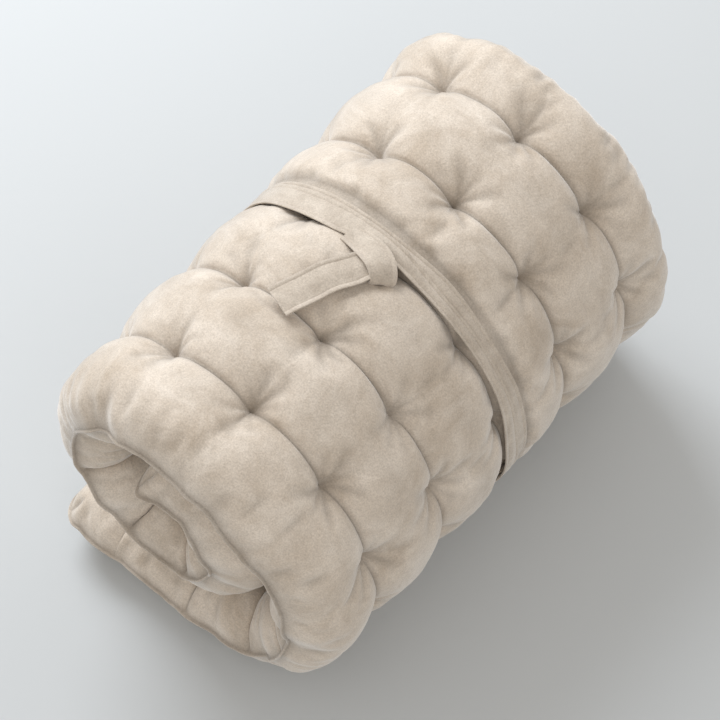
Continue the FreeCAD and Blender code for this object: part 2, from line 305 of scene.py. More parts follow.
across = chained(
    [graded(-HALF_WIDTH + FLANGE, RING_PLACES[0], CELLS_AT_SIDE, True, True)]
    + [graded(RING_PLACES[i], RING_PLACES[i + 1], CELLS_PER_RING, True, True)
       for i in range(RINGS - 1)]
    + [graded(RING_PLACES[-1], HALF_WIDTH - FLANGE, CELLS_AT_SIDE, True, True)])
along = chained(
    [graded(FLANGE, row_lengths[1], CELLS_AT_END, True, True)]
    + [graded(row_lengths[i], row_lengths[i + 1], CELLS_PER_ROW, True, True)
       for i in range(1, ROWS)]
    + [graded(row_lengths[ROWS], LENGTH - FLANGE, CELLS_AT_END, True, True)])


def soft_noise(s, y, s_scale, y_scale, seed):
    """Smooth noise from -1 to 1, with its own grain along and across the mattress."""
    table = np.random.RandomState(seed).uniform(-1, 1, (64, 64))
    a, b = s / s_scale + 7.3, y / y_scale + 31.7
    i, j = np.floor(a).astype(int), np.floor(b).astype(int)
    u, v = a - i, b - j
    u, v = u * u * (3 - 2 * u), v * v * (3 - 2 * v)
    at = lambda di, dj: table[(i + di) % 64, (j + dj) % 64]
    return ((at(0, 0) * (1 - u) + at(1, 0) * u) * (1 - v)
            + (at(0, 1) * (1 - u) + at(1, 1) * u) * v)


SIDE_ROUND = {"outer": 0.060, "inner": 0.066}
END_ROUND = {"outer": 0.052, "inner": 0.058}
RING_VALLEY = {"outer": 0.0165, "inner": 0.014}
TUFT_SINK = {"outer": 0.0150, "inner": 0.011}
CROWN = 0.048


def rounded(distance, reach):
    """0 at a seam, rising steeply to 1 where the crown starts."""
    short = np.clip(1 - distance / reach, 0, 1)
    return (1 - short ** 2.3) ** 0.52


def crease(distance, reach):
    """1 in the bottom of a sharp crease, falling to 0 at the middle of the puffs beside it."""
    near = np.clip(1 - np.abs(distance) / reach, 0, 1)
    return 1 - (1 - near ** 2.2) ** 0.55


def nearest(places, values):
    """Index of the nearest place to each value, and the signed distance from it."""
    index = np.abs(values[..., None] - places).argmin(-1)
    return index, values - places[index]


SHEET_SEED = {"outer": 3, "inner": 40}
VALLEY_VARIES, VALLEY_GRAIN = 0.22, (0.05, 0.20)
TUFT_REACH = 0.0160
ROW_DIP, ROW_REACH = 0.0030, 0.020
FOLD_CREASE, FOLD_CREASE_PER_RADIAN = 0.008, 0.016
FAN_HEIGHT, FAN_REACH, FAN_HOLE = 0.0018, 0.024, 0.010
FAN_PLEATS = (9, 5)
TENSION_HEIGHT, TENSION_GRAIN, TENSION_REACH = 0.0012, (0.085, 0.0115), 0.055
CRUMPLE_HEIGHT, CRUMPLE_GRAIN = 0.0010, (0.034, 0.030)
SWELL_HEIGHT, SWELL_GRAIN = 0.0018, (0.11, 0.09)
SIDE_GATHER, SIDE_GATHER_PITCH, SIDE_GATHER_REACH = 0.0036, 0.026, 0.024
END_GATHER, END_GATHER_PITCH, END_GATHER_REACH = 0.0032, 0.023, 0.022
SIDE_GATHER_DRIFT, END_GATHER_DRIFT = 3.4, 2.2
GATHER_ROOT = 0.004
DEEPEST_SHARE = 0.97


def velvet_depth(s, y, side):
    """Depth of the velvet from the outer tuft line, towards the inside of the roll."""
    outward = -1 if side == "outer" else 1
    seed = SHEET_SEED[side]
    ring, off_ring = nearest(RING_PLACES, y)
    row, off_row = nearest(row_lengths[1:-1], s)
    row += 1
    from_tuft = np.hypot(off_ring, off_row)
    bend = np.array([turns[i] for i in range(ROWS + 2)])[row]

    from_side = HALF_WIDTH - FLANGE - np.abs(y)
    from_end = np.minimum(s - FLANGE, LENGTH - FLANGE - s)
    fullness = (rounded(from_side, SIDE_ROUND[side]) * rounded(from_end, END_ROUND[side]))

    valley = RING_VALLEY[side] * (1 + VALLEY_VARIES * soft_noise(s, y, *VALLEY_GRAIN, seed))
    dip = valley * crease(off_ring, RING_PITCH / 2)
    dip += TUFT_SINK[side] * np.exp(-from_tuft / TUFT_REACH)
    if side == "outer":
        dip += ROW_DIP * np.exp(-(off_row / ROW_REACH) ** 2)
    else:
        dip += (FOLD_CREASE + FOLD_CREASE_PER_RADIAN * bend) * crease(off_row, PITCH / 2)

    spokes = np.random.RandomState(seed + 1).uniform(0, 2 * math.pi, (ROWS + 2, RINGS, 2))
    phase = spokes[row, ring]
    angle = np.arctan2(off_ring, off_row)
    fan = np.cos(FAN_PLEATS[0] * angle + phase[..., 0])
    fan = fan + 0.7 * np.cos(FAN_PLEATS[1] * angle + phase[..., 1])
    fan *= np.exp(-from_tuft / FAN_REACH) * (1 - np.exp(-from_tuft / FAN_HOLE))

    tension = soft_noise(s, y, *TENSION_GRAIN, seed + 2)
    tension = tension * (0.4 + 0.6 * crease(off_ring, TENSION_REACH))
    crumple = soft_noise(s, y, *CRUMPLE_GRAIN, seed + 3)
    swell = soft_noise(s, y, *SWELL_GRAIN, seed + 4)
    relief = (FAN_HEIGHT * fan + TENSION_HEIGHT * tension + CRUMPLE_HEIGHT * crumple
              + SWELL_HEIGHT * swell)

    gather_phase = (2 * math.pi * s / SIDE_GATHER_PITCH
                    + SIDE_GATHER_DRIFT * soft_noise(s, y * 0, 0.05, 1.0, seed + 5))
    gather = np.cos(gather_phase) * (0.6 + 0.6 * soft_noise(s, y * 0, 0.03, 1.0, seed + 6))
    relief += (SIDE_GATHER * gather * np.exp(-from_side / SIDE_GATHER_REACH)
               * np.clip(from_side / GATHER_ROOT, 0, 1))
    end_phase = (2 * math.pi * y / END_GATHER_PITCH
                 + END_GATHER_DRIFT * soft_noise(s * 0, y, 1.0, 0.05, seed + 7))
    relief += (END_GATHER * np.cos(end_phase) * np.exp(-from_end / END_GATHER_REACH)
               * np.clip(from_end / GATHER_ROOT, 0, 1))

    dip = np.minimum(dip, DEEPEST_SHARE * CROWN * fullness)
    height = CROWN * fullness - dip + relief * fullness
    height = np.maximum(height, FLANGE_HALF_THICKNESS)
    return SEAM_LEVEL + outward * height


STRAP_WIDTH = 0.040
FIRST_TURN_MIDDLE = 0.022
SECOND_TURN_MIDDLE = 0.012
FIRST_TURN_DEPTH = -0.0070
SECOND_TURN_DEPTH = -0.0098
STRAP_ROW_LAST = 10
KNOT_ROW = 7
FREE_END_START = 0.008
FREE_END_LEAN = 0.34
FREE_END_REACH = 0.145
PRESSED_FACE = 0.0018
PRESSED_BESIDE = 0.014
PRESSED_DROP = 0.010
PRESSED_EASE = 0.02


def pressed_by_strap(s, y, depth):
    """The puffs sink under the strap's two turns, on the outer face only."""
    reach = row_lengths[STRAP_ROW_LAST]
    under = (np.clip((reach - s) / PRESSED_EASE, 0, 1)
             * np.clip((s - PRESSED_EASE) / PRESSED_EASE, 0, 1))
    for middle, level in ((FIRST_TURN_MIDDLE, FIRST_TURN_DEPTH + PRESSED_FACE),
                          (SECOND_TURN_MIDDLE, SECOND_TURN_DEPTH + PRESSED_FACE)):
        beside = np.clip((np.abs(y - middle) - STRAP_WIDTH / 2) / PRESSED_BESIDE, 0, 1)
        floor_level = level - PRESSED_DROP * beside ** 0.6 - 1.0 * (under <= 0)
        pushed = np.where(beside < 1, np.maximum(depth, floor_level), depth)
        depth = depth + (pushed - depth) * under
    return depth


FLANGE_EDGE = 0.0008


def flange_places(places, low, high):
    """The seam's narrow flange beside the puffs: its root, its side and its tip."""
    return np.concatenate([[low, low + FLANGE_EDGE], places, [high - FLANGE_EDGE, high]])


across_all = flange_places(across, -HALF_WIDTH, HALF_WIDTH)
along_all = flange_places(along, 0.0, LENGTH)
S, Y = np.meshgrid(along_all, across_all, indexing="ij")
COLUMNS, CROSS = S.shape

on_flange = ((np.abs(Y) > HALF_WIDTH - FLANGE + 1e-6) | (S < FLANGE - 1e-6)
             | (S > LENGTH - FLANGE + 1e-6))
at_tip = ((np.abs(Y) > HALF_WIDTH - 1e-6) | (S < 1e-6) | (S > LENGTH - 1e-6))

# Its open end stands a little proud and its far end is drawn in. Both seams wander and pucker.
OPEN_END_DRAW, FAR_END_DRAW, DRAW_REACH = -0.009, 0.011, 0.08
SEAM_WANDER, SEAM_WANDER_LENGTH = 0.0060, 0.040
SEAM_PUCKER, SEAM_PUCKER_LENGTH = 0.0009, 0.014
CORNER_ROUND = 0.030

seam_pull = (SEAM_WANDER * soft_noise(S, Y * 0, SEAM_WANDER_LENGTH, 1.0, 70)
             + SEAM_PUCKER * soft_noise(S, Y * 0, SEAM_PUCKER_LENGTH, 1.0, 71))
near_edge = np.clip(1 - (HALF_WIDTH - np.abs(Y)) / DRAW_REACH, 0, 1) ** 1.5
edge_draw = np.where(Y < 0, OPEN_END_DRAW, FAR_END_DRAW)
Y_laid = Y - np.sign(Y) * near_edge * (edge_draw + seam_pull)

# The four corners are sewn round: squares about each corner's centre become circles.
end_side = np.where(S < LENGTH / 2, -1.0, 1.0)
in_s = np.clip(1 - (LENGTH / 2 - np.abs(S - LENGTH / 2)) / CORNER_ROUND, 0, 1)
in_y = np.clip(1 - (HALF_WIDTH - np.abs(Y)) / CORNER_ROUND, 0, 1)
drawn = np.maximum(in_s, in_y) / np.maximum(np.hypot(in_s, in_y), 1e-9)
S_laid = S - end_side * CORNER_ROUND * in_s * (1 - drawn)
Y_laid -= np.sign(Y) * CORNER_ROUND * in_y * (1 - drawn)

# The panels inside the roll bow less, and so does a panel's inner face. Where the mattress
# rests on the floor, it is pressed flat.
INSIDE_FROM, INSIDE_BOW = 11, 0.6
BOW_LOST = 0.8
FLOOR_GAP, FLOOR_SLOPE = 0.0006, 0.12


def laid(depth):
    """Points of one face in the rolled mattress, from their depths."""
    panel = np.clip(np.searchsorted(row_lengths, S, side="right"), 1, ROWS + 1)
    bow = np.where(panel >= INSIDE_FROM, INSIDE_BOW, 1.0)
    bow = bow * (1 - BOW_LOST * np.clip(depth / (LOFT - TUFT_DEPTH), 0, 1))
    x, z = on_the_roll(S_laid, depth, bow)
    z = np.maximum(z, FLOOR_GAP + FLOOR_SLOPE * np.maximum(z, 0))
    return np.stack([x, Y_laid, z], -1)


depths = {}
for side, outward in (("outer", -1), ("inner", 1)):
    depth = velvet_depth(np.clip(S, FLANGE, LENGTH - FLANGE),
                         np.clip(Y, FLANGE - HALF_WIDTH, HALF_WIDTH - FLANGE), side)
    if side == "outer":
        depth = pressed_by_strap(S, Y, depth)
    depth = np.where(on_flange, SEAM_LEVEL + outward * FLANGE_HALF_THICKNESS, depth)
    depths[side] = np.where(at_tip, SEAM_LEVEL, depth)

outer_points = laid(depths["outer"])
inner_points = laid(depths["inner"])

# The velvet is cut a little larger than the pad. Each sheet is simulated as cloth, held at its
# tufts, at the seams, on the floor and under the strap, and pressed outwards by the batting.
CLOTH_FRAMES = 20
BATTING_PRESSURE = 4.0
SPARE_VELVET = 0.035
MOST_SWELL = {"outer": 0.008, "inner": 0.006}
HELD_BY_TUFT = 0.004
HELD_BY_FLOOR = 0.004
HELD_BESIDE_STRAP = 0.004
SEAM_COLUMNS, SEAM_LINES = 4, 4

cloth_columns = np.arange(0, COLUMNS, 2)
cloth_lines = np.concatenate([[0], np.arange(1, CROSS, 2), [CROSS - 1]])


def between_cloth_points(moves):
    """Moves of the cloth's own points, spread smoothly over the finer grid."""
    found = np.empty((COLUMNS, len(cloth_lines), 3))
    for j in range(len(cloth_lines)):
        for k in range(3):
            found[:, j, k] = np.interp(along_all, along_all[cloth_columns], moves[:, j, k])
    spread = np.empty((COLUMNS, CROSS, 3))
    for i in range(COLUMNS):
        for k in range(3):
            spread[i, :, k] = np.interp(across_all, across_all[cloth_lines], found[i, :, k])
    spread[1:-1] = (spread[:-2] + 2 * spread[1:-1] + spread[2:]) / 4
    spread[:, 1:-1] = (spread[:, :-2] + 2 * spread[:, 1:-1] + spread[:, 2:]) / 4
    return spread


def swell_of_velvet(points, behind, held, most):
    """How far each point of one sheet moves when the sheet settles as cloth."""
    pick = np.ix_(cloth_columns, cloth_lines)
    first, away = points[pick].reshape(-1, 3), (points - behind)[pick].reshape(-1, 3)
    index = np.arange(len(first)).reshape(len(cloth_columns), len(cloth_lines))
    corners = np.stack([index[:-1, :-1], index[1:, :-1], index[1:, 1:], index[:-1, 1:]],
                       -1).reshape(-1, 4)
    normal = np.cross(first[corners[:, 2]] - first[corners[:, 0]],
                      first[corners[:, 3]] - first[corners[:, 1]])
    if (normal * away[corners[:, 0]]).sum() < 0:
        corners = corners[:, ::-1]
    mesh = bpy.data.meshes.new("velvet_sheet")
    mesh.from_pydata(first.tolist(), [], corners.tolist())
    sheet = bpy.data.objects.new("velvet_sheet", mesh)
    scene.collection.objects.link(sheet)
    pins = sheet.vertex_groups.new(name="held")
    pins.add(np.flatnonzero(held[pick].ravel()).tolist(), 1.0, "REPLACE")
    cloth = sheet.modifiers.new("cloth", "CLOTH")
    cloth.settings.quality = 4
    cloth.settings.mass = 0.3
    cloth.settings.tension_stiffness = cloth.settings.compression_stiffness = 15.0
    cloth.settings.shear_stiffness = 5.0
    cloth.settings.bending_stiffness = 0.3
    cloth.settings.use_pressure = True
    cloth.settings.uniform_pressure_force = BATTING_PRESSURE
    cloth.settings.shrink_min = -SPARE_VELVET
    cloth.settings.vertex_group_mass = "held"
    cloth.settings.effector_weights.gravity = 0.0
    cloth.collision_settings.use_collision = False
    cloth.point_cache.frame_end = CLOTH_FRAMES
    for frame_number in range(1, CLOTH_FRAMES + 1):
        scene.frame_set(frame_number)
    settled = sheet.evaluated_get(bpy.context.evaluated_depsgraph_get()).data
    places = np.empty(len(first) * 3)
    settled.vertices.foreach_get("co", places)
    move = places.reshape(-1, 3) - first
    bpy.data.objects.remove(sheet)
    bpy.data.meshes.remove(mesh)
    scene.frame_set(1)
    reach = np.linalg.norm(move, axis=-1, keepdims=True)
    move *= np.tanh(reach / most) * most / np.maximum(reach, 1e-9)
    return between_cloth_points(move.reshape(len(cloth_columns), len(cloth_lines), 3))


ring, off_ring = nearest(RING_PLACES, Y)
row, off_row = nearest(row_lengths[1:-1], S)
at_seam = np.zeros(S.shape, bool)
at_seam[:SEAM_COLUMNS] = at_seam[-SEAM_COLUMNS:] = True
at_seam[:, :SEAM_LINES] = at_seam[:, -SEAM_LINES:] = True
held = at_seam | (np.hypot(off_ring, off_row) < HELD_BY_TUFT)
strap_edges = (SECOND_TURN_MIDDLE - STRAP_WIDTH / 2, FIRST_TURN_MIDDLE + STRAP_WIDTH / 2)
under_strap = ((Y > strap_edges[0]) & (Y < strap_edges[1])
               & (S < row_lengths[STRAP_ROW_LAST]))
free_end_middle = row_lengths[KNOT_ROW] + FREE_END_START - FREE_END_LEAN * Y
under_strap |= ((np.abs(S - free_end_middle) < STRAP_WIDTH / 2 + HELD_BESIDE_STRAP)
                & (Y < 0) & (Y > -FREE_END_REACH))
on_floor = outer_points[..., 2] < HELD_BY_FLOOR
outer_swell = swell_of_velvet(outer_points, inner_points, held | under_strap | on_floor,
                              MOST_SWELL["outer"])
inner_swell = swell_of_velvet(inner_points, outer_points, held, MOST_SWELL["inner"])
outer_swell[at_seam] = inner_swell[at_seam] = 0.0
outer_points += outer_swell
inner_points += inner_swell


def face_normals(points):
    """Unit normals of a grid of points, from the differences along and across it."""
    d_along = np.gradient(points, axis=0)
    d_across = np.gradient(points, axis=1)
    normal = np.cross(d_along, d_across)
    return normal / np.maximum(np.linalg.norm(normal, axis=-1, keepdims=True), 1e-12)


outer_normals = face_normals(outer_points)
inner_normals = -face_normals(inner_points)
if outer_normals[40, CROSS // 2, 2] > 0:
    outer_normals, inner_normals = -outer_normals, -inner_normals
tip_normals = outer_normals + inner_normals
tip_normals /= np.maximum(np.linalg.norm(tip_normals, axis=-1, keepdims=True), 1e-12)
outer_normals[at_tip] = tip_normals[at_tip]


RIDGE_BLURS = 14
RIDGE_HEIGHT = 0.0016


def painted_light_on_ridges(points, normals):
    """Painted light: 1 where the velvet stands out on a ridge and gets a painted highlight, -1
    down in its creases, which get painted shade.
    """
    blurred = points.copy()
    for _ in range(RIDGE_BLURS):
        blurred[1:-1] = (blurred[:-2] + 2 * blurred[1:-1] + blurred[2:]) / 4
        blurred[:, 1:-1] = (blurred[:, :-2] + 2 * blurred[:, 1:-1] + blurred[:, 2:]) / 4
    standing = ((points - blurred) * normals).sum(-1)
    return np.tanh(standing / RIDGE_HEIGHT)


# Painted shade in the creases and a painted highlight on the ridges of each sheet.
outer_painted_light = painted_light_on_ridges(outer_points, outer_normals)
inner_painted_light = painted_light_on_ridges(inner_points, inner_normals)


def mattress_length(name, first, last):
    """One closed length of the mattress, between two columns of the grid."""
    count = last - first + 1
    outer_index = np.arange(count * CROSS).reshape(count, CROSS)
    inner_index = outer_index + count * CROSS
    tips = at_tip[first:last + 1]
    inner_index = np.where(tips, outer_index, inner_index)
    quads = []
    for index, flip in ((outer_index, True), (inner_index, False)):
        corners = [index[:-1, :-1], index[1:, :-1], index[1:, 1:], index[:-1, 1:]]
        quad = np.stack([c.ravel() for c in (corners[::-1] if flip else corners)], -1)
        quads.append(quad)
    for column, flip in ((0, False), (count - 1, True)):
        if (first == 0 and column == 0) or (last == COLUMNS - 1 and column == count - 1):
            continue
        o, i = outer_index[column], inner_index[column]
        corners = [o[:-1], i[:-1], i[1:], o[1:]]
        quads.append(np.stack(corners[::-1] if flip else corners, -1))
    quads = np.concatenate(quads)
    points = np.concatenate([outer_points[first:last + 1].reshape(-1, 3),
                             inner_points[first:last + 1].reshape(-1, 3)])
    normals = np.concatenate([outer_normals[first:last + 1].reshape(-1, 3),
                              inner_normals[first:last + 1].reshape(-1, 3)])
    painted_light_values = np.concatenate([outer_painted_light[first:last + 1].ravel(),
                           inner_painted_light[first:last + 1].ravel()])
    used = np.unique(quads)
    renumber = np.full(len(points), -1)
    renumber[used] = np.arange(len(used))
    faces = []
    for quad in renumber[quads].tolist():
        corner = list(dict.fromkeys(quad))
        if len(corner) > 2:
            faces.append(corner)
    mesh = bpy.data.meshes.new(name)
    mesh.from_pydata(points[used].tolist(), [], faces)
    mesh.validate()
    # The painted shade and highlight go on the mesh as an attribute that the velvet's colour
    # reads.
    mesh.attributes.new("painted_shade_and_highlight", "FLOAT", "POINT").data.foreach_set("value", painted_light_values[used])
    mesh.shade_smooth()
    mesh.materials.append(velvet)
    piece = bpy.data.objects.new(name, mesh)
    scene.collection.objects.link(piece)
    mesh.normals_split_custom_set_from_vertices(normals[used].tolist())
    return piece


def along_mitre(row):
    """Unit direction along the mattress at a row, halfway between those of its two panels."""
    before, after = rows[row] - rows[row - 1], rows[row + 1] - rows[row]
    middle = before / np.linalg.norm(before) + after / np.linalg.norm(after)
    return middle / np.linalg.norm(middle)


def middle_column(panel):
    """The column of the grid at the middle of a panel, where one length meets the next."""
    middle = (row_lengths[panel - 1] + row_lengths[panel]) / 2
    return int(np.abs(along_all - middle).argmin())


lengths = [("mattress_end_flap", 0, middle_column(2), 1, [1])]
for row in range(2, ROWS + 1):
    last = COLUMNS - 1 if row == ROWS else middle_column(row + 1)
    stands_for = [row] if row < ROWS else [row, row + 1]
    lengths.append((f"mattress_row_{row:02d}", middle_column(row), last, row, stands_for))
for name, first, last, row, stands_for in lengths:
    piece = mattress_length(name, first, last)
    if row == 1:
        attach(piece, "flap")
    else:
        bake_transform(piece)
    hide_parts(*[f"{kind}_{number:02d}" for kind in ("cover", "batting")
                         for number in stands_for])


# ---------------------------------------------------------------------------------------------
# The tuft stitches: waxed twine drawn right through the mattress at each tuft and knotted off
# at the bottom of its dimple, five in a row. Each thread turns with the fold that it pinches.
# ---------------------------------------------------------------------------------------------

TWINE_RADIUS = 0.0009
STITCH_RADIUS = 0.0021
STITCH_HEIGHT = 0.0012

twine = bpy.data.materials.new("waxed_twine")
twine.use_nodes = True
twine_shader = twine.node_tree.nodes["Principled BSDF"]
twine_shader.inputs["Base Color"].default_value = (0.36, 0.30, 0.24, 1.0)
twine_shader.inputs["Roughness"].default_value = 0.6
twist = twine.node_tree.nodes.new("ShaderNodeTexWave")
twist.inputs["Scale"].default_value = 500.0
twist.inputs["Distortion"].default_value = 2.0
twist_place = twine.node_tree.nodes.new("ShaderNodeTexCoord")
twist_bump = twine.node_tree.nodes.new("ShaderNodeBump")
twist_bump.inputs["Distance"].default_value = 0.0003
twine.node_tree.links.new(twist_place.outputs["Object"], twist.inputs["Vector"])
twine.node_tree.links.new(twist.outputs["Fac"], twist_bump.inputs["Height"])
twine.node_tree.links.new(twist_bump.outputs["Normal"], twine_shader.inputs["Normal"])


def new_cylinder(radius, depth, place, turn, sides=10):
    bpy.ops.object.select_all(action="DESELECT")
    bpy.ops.mesh.primitive_cylinder_add(vertices=sides, radius=radius, depth=depth,
                                        location=place, rotation=turn)
    return bpy.context.object


for row in range(1, ROWS + 1):
    mitre = along_mitre(row)
    inward = np.array([-mitre[1], mitre[0]])
    turn = (0.0, math.atan2(inward[0], inward[1]), 0.0)
    parts = []
    for place in RING_PLACES:
        s_here, y_here = np.array([row_lengths[row]]), np.array([place])
        top = float(velvet_depth(s_here, y_here, "outer")[0]) / math.cos(turns[row] / 2)
        bottom = float(velvet_depth(s_here, y_here, "inner")[0]) / math.cos(turns[row] / 2)
        top, bottom = top + STITCH_HEIGHT / 2, bottom - STITCH_HEIGHT / 2
        centre = rows[row] + inward * (top + bottom) / 2
        parts.append(new_cylinder(TWINE_RADIUS, bottom - top, (centre[0], place, centre[1]),
                                  turn))
        for level in (top, bottom):
            spot = rows[row] + inward * level
            knot = new_cylinder(STITCH_RADIUS, STITCH_HEIGHT, (spot[0], place, spot[1]), turn)
            bevel = knot.modifiers.new("bevel", "BEVEL")
            bevel.width = STITCH_HEIGHT / 3
            bevel.segments = 2
            bpy.ops.object.modifier_apply(modifier="bevel")
            parts.append(knot)
    bpy.ops.object.select_all(action="DESELECT")
    for part in parts:
        part.select_set(True)
    bpy.context.view_layer.objects.active = parts[0]
    bpy.ops.object.join()
    bpy.ops.object.transform_apply(location=True, rotation=True, scale=True)
    tufts = bpy.context.object
    tufts.name = f"tuft_stitches_{row:02d}"
    tufts.data.materials.append(twine)
    tufts.data.shade_smooth()
    if row == 1:
        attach(tufts, "flap")
    else:
        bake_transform(tufts)
    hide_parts(f"tuft_row_{row:02d}")


# ---------------------------------------------------------------------------------------------
# The strap: one long tie of the same velvet, doubled, hemmed and topstitched along both edges.
# It goes twice round the roll, the second turn half over the first, and pulls into the puffs.
# ---------------------------------------------------------------------------------------------

STRAP_PALE = (0.670, 0.596, 0.515, 1.0)
STRAP_DEEP = (0.480, 0.412, 0.342, 1.0)
STRAP_THICKNESS = 0.0022
STITCH_FROM_EDGE, STITCH_WIDTH, STITCH_SINK = 0.0048, 0.0008, 0.0006
HEM_FROM_EDGE, HEM_WIDTH, HEM_RISE = 0.0024, 0.0018, 0.0006
HEM_BUNCHES_BELOW = 0.022
STRAP_OFF_FLOOR = 0.0014
ROUNDED_BELOW = math.radians(62)
KNOT_PAST_ROW = 0.006
KNOT_ALONG = row_lengths[KNOT_ROW] + KNOT_PAST_ROW

strap_velvet = velvet_material("strap_velvet", STRAP_PALE, STRAP_DEEP, 30.0)

EDGE_STEPS = [0.0, 0.0006, 0.0014, 0.0026, 0.0040, 0.0048, 0.0056, 0.0068, 0.0090]
MIDDLE_SHARES = [-0.55, 0.0, 0.55]


def across_the_band(width):
    """Places across a band of that width, and how high its face stands there."""
    fit = min(1.0, width / HEM_BUNCHES_BELOW)
    edge = np.array(EDGE_STEPS) * fit
    half = width / 2
    middle = np.array(MIDDLE_SHARES) * (half - edge[-1])
    places = np.concatenate([-half + edge, middle, half - edge[::-1]])
    from_edge = half - np.abs(places)
    stitched = np.exp(-((from_edge - STITCH_FROM_EDGE * fit) / (STITCH_WIDTH * fit)) ** 2)
    hem = np.exp(-((from_edge - HEM_FROM_EDGE * fit) / (HEM_WIDTH * fit)) ** 2)
    return places, HEM_RISE * hem - STITCH_SINK * stitched


BAND_ACROSS = 2 * len(EDGE_STEPS) + len(MIDDLE_SHARES)


def band(name, stations, lay=on_the_roll):
    """A flat band laid on the roll. Each station is its place along and across the mattress, its
    depth, its width, the way that it runs and its fold; the mesh is a grid given a thickness."""
    bpy.ops.object.select_all(action="DESELECT")
    bpy.ops.mesh.primitive_grid_add(x_subdivisions=len(stations) - 1,
                                    y_subdivisions=BAND_ACROSS - 1, size=1.0)
    piece = bpy.context.object
    piece.name = name
    points = []
    for s, y, depth, width, lean, ripple in stations:
        places, raised = across_the_band(width)
        curl = ripple * np.cos(places / width * 3.0 * math.pi)
        points.append(np.stack([s + places * math.sin(lean), y + places * math.cos(lean),
                                depth - raised - curl], -1))
    points = np.array(points)
    x, z = lay(points[..., 0], points[..., 2])
    world = np.stack([x, points[..., 1], np.maximum(z, STRAP_OFF_FLOOR)], -1)
    count = np.array([v.co[:] for v in piece.data.vertices])
    column = np.rint((count[:, 0] + 0.5) * (len(stations) - 1)).astype(int)
    line = np.rint((count[:, 1] + 0.5) * (BAND_ACROSS - 1)).astype(int)
    piece.data.vertices.foreach_set("co", world[column, line].ravel())
    piece.data.update()
    ends = piece.vertex_groups.new(name="cut_ends")
    ends.add(np.flatnonzero((column == 0) | (column == len(stations) - 1)).tolist(), 1.0,
             "REPLACE")
    wall = piece.modifiers.new("wall", "SOLIDIFY")
    wall.thickness = STRAP_THICKNESS
    wall.offset = 0.0
    wall.use_even_offset = False
    bpy.ops.object.modifier_apply(modifier="wall")
    at_end = np.array([bool(v.groups) for v in piece.data.vertices])
    sharp = piece.data.attributes.new("crease_edge", "FLOAT", "EDGE")
    sharp.data.foreach_set("value", [float(at_end[a] and at_end[b])
                                     for a, b in (e.vertices[:] for e in piece.data.edges)])
    soften = piece.modifiers.new("soften", "SUBSURF")
    soften.levels = soften.render_levels = 1
    bpy.ops.object.modifier_apply(modifier="soften")
    bpy.ops.object.mode_set(mode="EDIT")
    bpy.ops.mesh.select_all(action="SELECT")
    bpy.ops.mesh.normals_make_consistent(inside=False)
    bpy.ops.object.mode_set(mode="OBJECT")
    bpy.ops.object.shade_smooth_by_angle(angle=ROUNDED_BELOW)
    piece.data.materials.append(strap_velvet)
    return piece


# Place across the mattress and width of each turn, at the knot and well away from it.
AT_KNOT = {"front": (0.0080, 0.024), "back": (0.0170, 0.022)}
AWAY = {("front", "left"): (0.0040, 0.034), ("back", "left"): (0.0120, 0.034),
        ("front", "right"): (0.0070, 0.017), ("back", "right"): (0.0200, 0.024)}
SETTLES_WITHIN = 0.075
SPREADS_FROM, SPREADS_WITHIN = 0.20, 0.20
SPREAD_WIDTH = 0.012
SPREAD_ACROSS = {"front": 0.001, "back": 0.003}
LIFT_AT_KNOT = 0.0045
WANDER = 0.0012
UNDULATION = 0.0010
BUNCHED_WIDTH = 0.03
BUNCHED_RIPPLE, FLAT_RIPPLE = 0.0011, 0.0004


def turn_of_strap(s, which):
    """Place across, depth, width and ripple of a turn of the strap at a place along the roll."""
    off = s - KNOT_ALONG
    side = "left" if off > 0 else "right"
    settled = min(1.0, abs(off) / SETTLES_WITHIN)
    ease = settled * settled * (3 - 2 * settled)
    y_knot, width_knot = AT_KNOT[which]
    y_away, width_away = AWAY[which, side]
    if side == "right":
        spread = min(1.0, max(0.0, (-off - SPREADS_FROM) / SPREADS_WITHIN))
        width_away += spread * SPREAD_WIDTH
        y_away += spread * SPREAD_ACROSS[which]
    y = y_knot + (y_away - y_knot) * ease
    width = width_knot + (width_away - width_knot) * ease
    y += WANDER * math.sin(s * 31.0 + (0.0 if which == "front" else 2.0))
    depth = SECOND_TURN_DEPTH if which == "front" else FIRST_TURN_DEPTH
    depth -= LIFT_AT_KNOT * (1 - ease)
    depth += UNDULATION * math.sin(s * 47.0 + (1.0 if which == "front" else 0.0))
    ripple = (BUNCHED_RIPPLE if width < BUNCHED_WIDTH else FLAT_RIPPLE) * (1 - 0.4 * ease)
    return y, depth, width, ripple


STATION_STEP = 0.0032
FIRST_TURN_START = 0.032
SECOND_TURN_START = 0.014


def turn_stations(which, first, last):
    """Stations of one turn of the strap, at even steps between two places along the roll."""
    count = max(2, int(round((last - first) / STATION_STEP)))
    found = []
    for s in np.linspace(first, last, count + 1):
        y, depth, width, ripple = turn_of_strap(s, which)
        found.append((s, y, depth, width, 0.0, ripple))
    return found


under_flap = band("strap_under_flap_length",
                  turn_stations("back", FIRST_TURN_START, along_all[middle_column(2)]))
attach(under_flap, "flap")
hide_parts("strap_under_flap")

for row in range(2, STRAP_ROW_LAST):
    for which in ("back", "front"):
        first = along_all[middle_column(row)]
        last = along_all[middle_column(row + 1)]
        if which == "front" and row == 2:
            first = row_lengths[2] + SECOND_TURN_START
        piece = band(f"strap_{which}_turn_{row:02d}", turn_stations(which, first, last))
        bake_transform(piece)
        if which == "front":
            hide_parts(f"strap_{row + 1:02d}")

# On the left the strap leaves the roll at the tenth row and runs straight down to the flap.
# It stands off the roll there, so that it clears the puffs when the mattress is laid flat.
FREE_STRETCH = 0.158
STANDS_OFF = 0.0175
STANDS_OFF_WITHIN = 0.032
leaving = rows[STRAP_ROW_LAST]
down = (leaving - rows[STRAP_ROW_LAST - 1]) / PITCH


